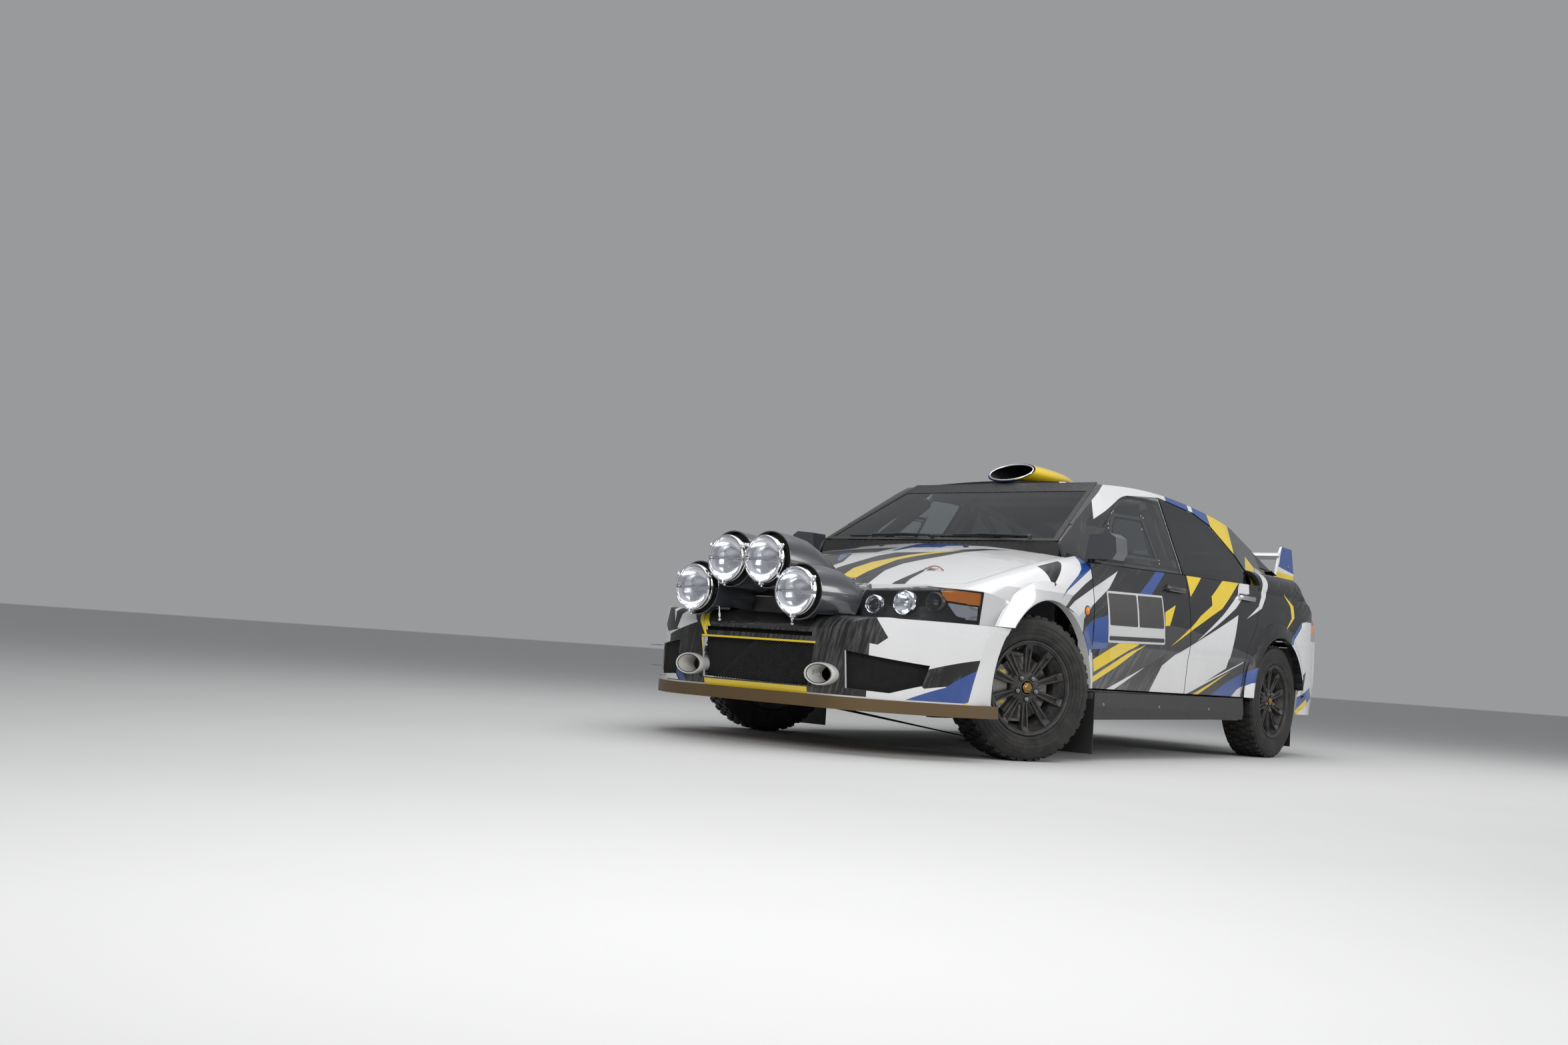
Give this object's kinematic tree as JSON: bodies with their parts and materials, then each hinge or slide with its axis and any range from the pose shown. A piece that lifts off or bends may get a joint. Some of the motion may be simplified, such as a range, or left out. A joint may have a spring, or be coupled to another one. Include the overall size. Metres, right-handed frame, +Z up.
{
  "type": "rally car",
  "caption": "Four-door saloon rally car with a lamp pod on the hood, roof scoop, rear wing, opening doors and lids, steering and turning wheels.",
  "frame": {"origin": "on the ground under the middle of the car's overall box", "axes": "+Z up, the car's front faces -Y, its left side is +X"},
  "size_m": [1.9356, 4.58, 1.5],
  "materials": {
    "body_paint": "white gloss with dark, blue and yellow bands",
    "inner_paint": "satin",
    "glazing": "tinted",
    "lamp_lens": "clear over reflector",
    "tail_lens": "red lens",
    "black_mesh": "black mesh",
    "engine_metal": "cast",
    "seat_fabric": "woven",
    "dash_plastic": "grained",
    "chassis_metal": "satin black",
    "exhaust_metal": "heat stained",
    "flap_rubber": "matte",
    "skirt_plastic": "scuffed",
    "lip_mesh": "woven bronze",
    "pod_shell": "woven fibre under lacquer",
    "wing_paint": "gloss",
    "wheel_rim_leather": "suede",
    "tyre": "gravel tyre",
    "rim_paint": "satin black"
  },
  "bodies": {
    "body": {"floor_pan": "inner_paint", "side_frames": "body_paint", "rear_quarters": "body_paint", "roof_panel": "body_paint", "roof_scoop": "body_paint", "front_fenders": "body_paint", "front_bumper": "body_paint", "front_lip": "lip_mesh", "rear_bumper": "body_paint", "windscreen": "glazing", "rear_screen": "glazing", "headlamps": "lamp_lens", "tail_lamps": "tail_lens", "grille_mesh": "black_mesh", "engine_block": "engine_metal", "radiator": "engine_metal", "roll_cage": "inner_paint", "seats": "seat_fabric", "dashboard": "dash_plastic", "inner_wings": "inner_paint", "front_subframe": "chassis_metal", "rear_suspension": "chassis_metal", "exhaust": "exhaust_metal", "mud_flaps": "flap_rubber", "side_skirts": "skirt_plastic"},
    "hood": {"hood": "body_paint", "lamp_pod": "pod_shell", "pod_lamps": "lamp_lens"},
    "boot_lid": {"boot_lid": "body_paint", "rear_wing": "wing_paint"},
    "steering_wheel": {"steering_wheel": "wheel_rim_leather"},
    "door_front_left": {"door_front_left": "body_paint", "window_front_left": "glazing"},
    "wheel_front_left": {"tyre_front_left": "tyre", "rim_front_left": "rim_paint"},
    "door_rear_left": {"door_rear_left": "body_paint", "window_rear_left": "glazing"},
    "wheel_rear_left": {"tyre_rear_left": "tyre", "rim_rear_left": "rim_paint"},
    "knuckle_left": {"knuckle_left": "chassis_metal"},
    "door_front_right": {"door_front_right": "body_paint", "window_front_right": "glazing"},
    "wheel_front_right": {"tyre_front_right": "tyre", "rim_front_right": "rim_paint"},
    "door_rear_right": {"door_rear_right": "body_paint", "window_rear_right": "glazing"},
    "wheel_rear_right": {"tyre_rear_right": "tyre", "rim_rear_right": "rim_paint"},
    "knuckle_right": {"knuckle_right": "chassis_metal"}
  },
  "joints": [
    {"name": "hood_hinge", "type": "hinge", "parent": "body", "child": "hood", "pos_m": [0, -0.874, 0.986], "axis": [-1, 0, 0], "range_deg": [0, 60]},
    {"name": "boot_hinge", "type": "hinge", "parent": "body", "child": "boot_lid", "pos_m": [0, 1.85, 1.074], "axis": [1, 0, 0], "range_deg": [0, 70]},
    {"name": "door_front_left_hinge", "type": "hinge", "parent": "body", "child": "door_front_left", "pos_m": [0.869, -0.794, 0.62], "axis": [0, 0, -1], "range_deg": [0, 65]},
    {"name": "door_rear_left_hinge", "type": "hinge", "parent": "body", "child": "door_rear_left", "pos_m": [0.869, 0.242, 0.62], "axis": [0, 0, -1], "range_deg": [0, 65]},
    {"name": "steer_left", "type": "hinge", "parent": "body", "child": "knuckle_left", "pos_m": [0.695, -1.217, 0.319], "axis": [0, 0, 1], "range_deg": [-8, 58]},
    {"name": "wheel_front_left_spin", "type": "hinge", "parent": "knuckle_left", "child": "wheel_front_left", "pos_m": [0.75391, -1.24447, 0.319], "axis": [0.9063, -0.4226, 0], "continuous": true},
    {"name": "wheel_rear_left_spin", "type": "hinge", "parent": "body", "child": "wheel_rear_left", "pos_m": [0.76, 1.403, 0.319], "axis": [1, 0, 0], "continuous": true},
    {"name": "door_front_right_hinge", "type": "hinge", "parent": "body", "child": "door_front_right", "pos_m": [-0.869, -0.794, 0.62], "axis": [0, 0, 1], "range_deg": [0, 65]},
    {"name": "door_rear_right_hinge", "type": "hinge", "parent": "body", "child": "door_rear_right", "pos_m": [-0.869, 0.242, 0.62], "axis": [0, 0, 1], "range_deg": [0, 65]},
    {"name": "steer_right", "type": "hinge", "parent": "body", "child": "knuckle_right", "pos_m": [-0.695, -1.217, 0.319], "axis": [0, 0, 1], "range_deg": [-8, 58]},
    {"name": "wheel_front_right_spin", "type": "hinge", "parent": "knuckle_right", "child": "wheel_front_right", "pos_m": [-0.75391, -1.18953, 0.319], "axis": [0.9063, -0.4226, 0], "continuous": true},
    {"name": "wheel_rear_right_spin", "type": "hinge", "parent": "body", "child": "wheel_rear_right", "pos_m": [-0.76, 1.403, 0.319], "axis": [1, 0, 0], "continuous": true},
    {"name": "steering_wheel_turn", "type": "hinge", "parent": "body", "child": "steering_wheel", "pos_m": [0.37, -0.502, 0.862], "axis": [0, 0.9404, 0.3401], "range_deg": [-110, 760]}
  ],
  "couplings": [
    {"joint": "steer_right", "follows": "steer_left", "ratio": 1},
    {"joint": "steering_wheel_turn", "follows": "steer_left", "ratio": 13}
  ]
}
